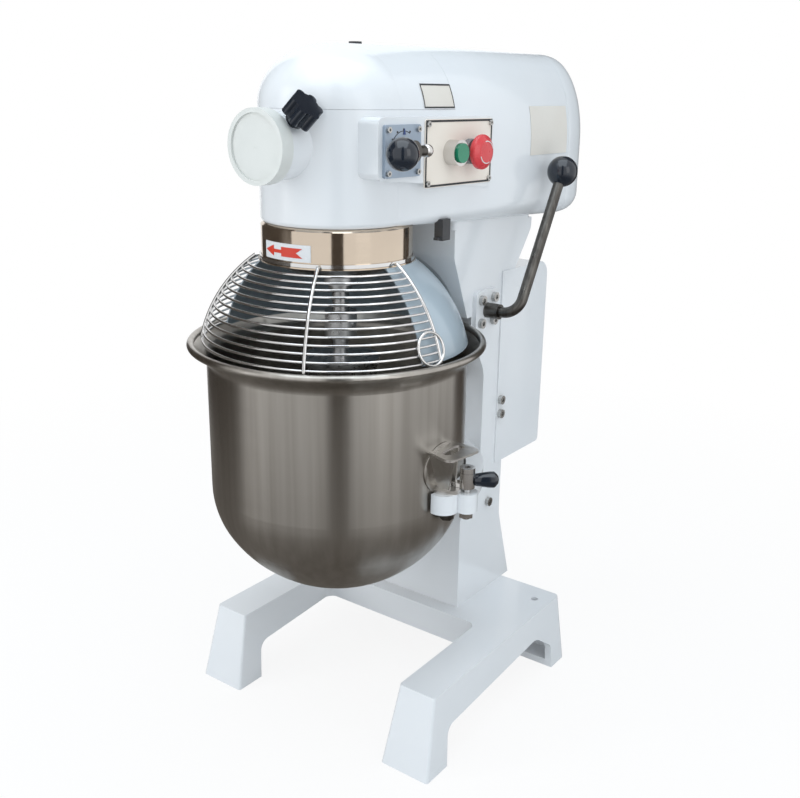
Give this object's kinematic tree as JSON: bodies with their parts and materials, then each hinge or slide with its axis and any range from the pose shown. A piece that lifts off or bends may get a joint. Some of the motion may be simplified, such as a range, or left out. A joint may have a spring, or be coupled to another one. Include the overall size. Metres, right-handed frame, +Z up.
{
  "type": "commercial stand mixer",
  "caption": "Bench-standing planetary mixer with a lever-raised steel bowl, wire safety guard, balloon whisk and a geared drive inside an enamelled casting.",
  "frame": {"origin": "on the floor under the middle of the overall box", "axes": "+X towards the control side, -Y towards the front, +Z up"},
  "size_m": [0.4444, 0.621, 0.86],
  "materials": {
    "enamel": "gloss enamel",
    "guard_enamel": "gloss enamel",
    "bowl_steel": "upright brushed",
    "ear_steel": "satin polished",
    "ring_chrome": "mirror polished",
    "wire_chrome": "polished",
    "fitting_chrome": "polished",
    "stop_bezel": "satin",
    "screw_steel": "zinc plated",
    "lever_steel": "drawn bar",
    "machined_steel": "machined",
    "carrier_metal": "turned",
    "slide_iron": "machined and oiled",
    "motor_metal": "painted",
    "whisk_wire": "drawn wire",
    "whisk_metal": "cast",
    "black_plastic": "gloss",
    "dark_plastic": "matte",
    "cap_plastic": "satin",
    "dial_metal": "satin blue",
    "name_metal": "satin cream with a dark edge",
    "green_plastic": "gloss",
    "red_plastic": "gloss"
  },
  "bodies": {
    "frame": {"base_frame": "enamel", "column_casting": "enamel", "column_bolts": "screw_steel", "slideway": "slide_iron", "head_casting": "enamel", "top_cover": "enamel", "top_plug": "dark_plastic", "rear_cover": "enamel", "motor_stator": "motor_metal", "shaft_bearings": "machined_steel", "ring_gear": "machined_steel", "splash_ring": "ring_chrome", "guard_shell": "guard_enamel", "guard_switch": "dark_plastic", "lift_flange": "enamel", "flange_screws": "screw_steel", "side_screws": "screw_steel", "dial_plate": "dial_metal", "nameplate": "name_metal", "panel_screws": "screw_steel", "start_housing": "fitting_chrome", "stop_housing": "stop_bezel", "switch_blocks": "dark_plastic", "electrical_box": "enamel", "contactor": "dark_plastic", "cable_gland": "dark_plastic"},
    "carriage": {"bowl_yoke": "enamel", "lift_bar": "slide_iron", "locating_pins": "fitting_chrome", "clamp_posts": "fitting_chrome", "bowl": "bowl_steel", "bowl_ears": "ear_steel"},
    "clamp_right": {"clamp_cam_right": "fitting_chrome", "clamp_grip_right": "black_plastic"},
    "clamp_left": {"clamp_cam_left": "fitting_chrome", "clamp_grip_left": "black_plastic"},
    "lift_lever": {"lift_shaft": "lever_steel", "crank_arm": "slide_iron", "lift_lever_rod": "lever_steel", "lift_lever_ball": "black_plastic"},
    "guard": {"wire_guard": "wire_chrome"},
    "planetary": {"planet_carrier": "carrier_metal", "main_shaft": "machined_steel", "bevel_gear": "machined_steel"},
    "agitator": {"agitator_shaft": "machined_steel", "planet_gear": "machined_steel", "whisk_hub": "whisk_metal", "whisk_wires": "whisk_wire"},
    "output": {"output_shaft": "machined_steel", "gear_cluster": "machined_steel", "bevel_pinion": "machined_steel"},
    "layshaft": {"layshaft": "machined_steel"},
    "motor": {"motor_rotor": "machined_steel"},
    "start": {"start_button": "green_plastic"},
    "stop": {"stop_mushroom": "red_plastic"},
    "speed": {"speed_lever_arm": "lever_steel", "speed_ball": "black_plastic"},
    "cap": {"hub_cap": "cap_plastic"},
    "knob": {"star_knob": "black_plastic"}
  },
  "joints": [
    {"name": "bowl_lift", "type": "slide", "parent": "frame", "child": "carriage", "axis": [0, 0, -1], "range_m": [0, 0.05648]},
    {"name": "lift_lever_turn", "type": "hinge", "parent": "frame", "child": "lift_lever", "pos_m": [0, 0.06646, 0.532], "axis": [-1, 0, 0], "range_deg": [0, 96]},
    {"name": "clamp_right_turn", "type": "hinge", "parent": "carriage", "child": "clamp_right", "pos_m": [0.189, -0.12054, 0.375], "axis": [0, 0, -1], "range_deg": [0, 90]},
    {"name": "clamp_left_turn", "type": "hinge", "parent": "carriage", "child": "clamp_left", "pos_m": [-0.189, -0.12054, 0.375], "axis": [0, 0, 1], "range_deg": [0, 90]},
    {"name": "guard_swing", "type": "hinge", "parent": "frame", "child": "guard", "pos_m": [0, -0.12854, 0.62], "axis": [0, 0, -1], "range_deg": [0, 150]},
    {"name": "planetary_spin", "type": "hinge", "parent": "frame", "child": "planetary", "pos_m": [0, -0.12854, 0.62], "axis": [0, 0, 1], "continuous": true},
    {"name": "agitator_spin", "type": "hinge", "parent": "planetary", "child": "agitator", "pos_m": [0.03334, -0.16307, 0.56], "axis": [0, 0, 1], "continuous": true},
    {"name": "output_spin", "type": "hinge", "parent": "frame", "child": "output", "pos_m": [0, -0.12854, 0.7486], "axis": [0, 1, 0], "continuous": true},
    {"name": "layshaft_spin", "type": "hinge", "parent": "frame", "child": "layshaft", "pos_m": [0, 0.02146, 0.8046], "axis": [0, 1, 0], "continuous": true},
    {"name": "motor_spin", "type": "hinge", "parent": "frame", "child": "motor", "pos_m": [0, 0.16046, 0.7486], "axis": [0, 1, 0], "continuous": true},
    {"name": "speed_select", "type": "hinge", "parent": "frame", "child": "speed", "pos_m": [0.10364, -0.14485, 0.7447], "axis": [0.9987, -0.0506, 0], "range_deg": [-45, 45]},
    {"name": "start_press", "type": "slide", "parent": "frame", "child": "start", "axis": [-0.9987, 0.0506, 0], "range_m": [0, 0.003], "stiffness_N_per_m": 400, "springref_m": -0.002},
    {"name": "stop_press", "type": "slide", "parent": "frame", "child": "stop", "axis": [-0.9987, 0.0506, 0], "range_m": [0, 0.005], "stiffness_N_per_m": 400, "springref_m": -0.002},
    {"name": "cap_pull", "type": "slide", "parent": "frame", "child": "cap", "axis": [0, -1, 0], "range_m": [0, 0.04]},
    {"name": "knob_turn", "type": "hinge", "parent": "frame", "child": "knob", "pos_m": [0, -0.23454, 0.7486], "axis": [0.7547, 0, 0.6561], "range_deg": [0, 1080]}
  ],
  "couplings": [
    {"joint": "lift_lever_turn", "follows": "bowl_lift", "rad_per_m": 29.666},
    {"joint": "agitator_spin", "follows": "planetary_spin", "ratio": -3},
    {"joint": "output_spin", "follows": "planetary_spin", "ratio": 2},
    {"joint": "layshaft_spin", "follows": "planetary_spin", "ratio": -4.2222},
    {"joint": "motor_spin", "follows": "planetary_spin", "ratio": 10.556}
  ]
}
